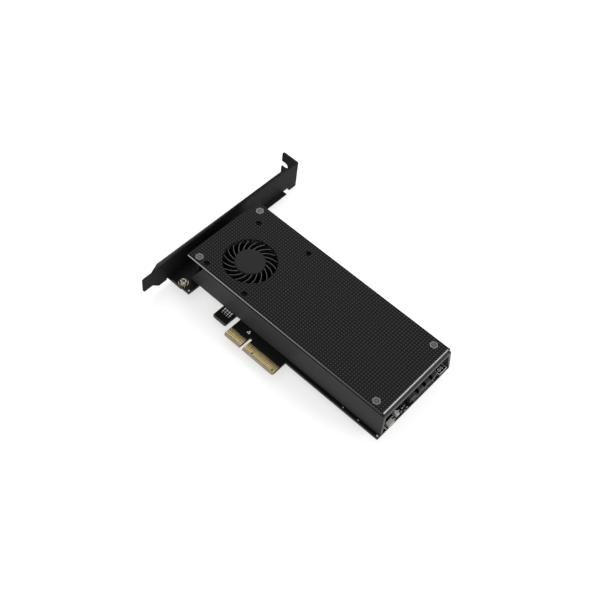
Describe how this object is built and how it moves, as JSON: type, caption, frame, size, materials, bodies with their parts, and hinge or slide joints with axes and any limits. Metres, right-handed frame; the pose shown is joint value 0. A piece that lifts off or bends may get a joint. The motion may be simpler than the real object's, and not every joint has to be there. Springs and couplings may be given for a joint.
{
  "type": "solid_state_drive_adapter_card",
  "caption": "Expansion card that carries a small solid-state drive behind a full-height slot bracket, under a folded black aluminium cooling cover with a built-in radial fan.",
  "frame": {"origin": "centre of the key notch at the tips of the contact fingers, on the component face of the circuit board", "axes": "+X along the card from the slot bracket to the free end, +Y from the contact fingers to the back edge, +Z out of the component side"},
  "size_m": [0.1544, 0.1201, 0.024],
  "materials": {
    "laminate": "glass-fibre laminate under a matte black solder mask",
    "gold": "gold plate on copper",
    "bracket_coating": "matte black powder coat on folded steel",
    "nickel": "nickel plate, slightly dull",
    "anodised_cover": "black anodised, with bright machined edges",
    "black_screws": "black zinc plate",
    "black_moulding": "moulded plastic, fine satin",
    "ferrite": "bonded ferrite, matte",
    "steel": "plain steel",
    "bronze": "sintered bronze, oiled",
    "copper": "enamelled copper wire",
    "tin": "tin plate",
    "bare_aluminium": "extruded, bare",
    "silicone": "soft filled silicone",
    "white_moulding": "white moulding",
    "ferrite_grey": "pressed iron powder, light grey coat",
    "chip_moulding": "black epoxy",
    "ceramic": "fired ceramic"
  },
  "bodies": {
    "card": {"circuit_board": "laminate", "component_side_contacts": "gold", "solder_side_contacts": "gold", "slot_bracket": "bracket_coating", "bracket_screws": "nickel", "screw_pads": "gold", "cooling_cover": "anodised_cover", "cover_standoffs": "nickel", "cover_screws": "black_screws", "fan_housing": "black_moulding", "fan_screws": "black_screws", "fan_bearing": "bronze", "stator_core": "steel", "stator_coils": "copper", "fan_circuit_board": "laminate", "drive_socket": "black_moulding", "socket_contacts": "tin", "drive_standoff": "tin", "drive_screw": "nickel", "drive_heat_sink": "bare_aluminium", "thermal_pad": "silicone", "fan_connector": "white_moulding", "fan_connector_pins": "tin", "lead_rings": "tin", "fiducial_marks": "tin", "status_lamp": "white_moulding", "power_inductor": "ferrite_grey", "regulator_chip": "chip_moulding", "chip_capacitors": "ceramic", "chip_resistors": "chip_moulding", "coupling_capacitors": "ceramic", "chip_ends": "tin"},
    "impeller": {"fan_rotor": "black_moulding", "rotor_magnet": "ferrite", "rotor_shaft": "steel"}
  },
  "joints": [
    {"name": "impeller_spin", "type": "hinge", "parent": "card", "child": "impeller", "pos_m": [-0.0263, 0.033, 0.0095], "axis": [0, 0, 1], "continuous": true}
  ]
}
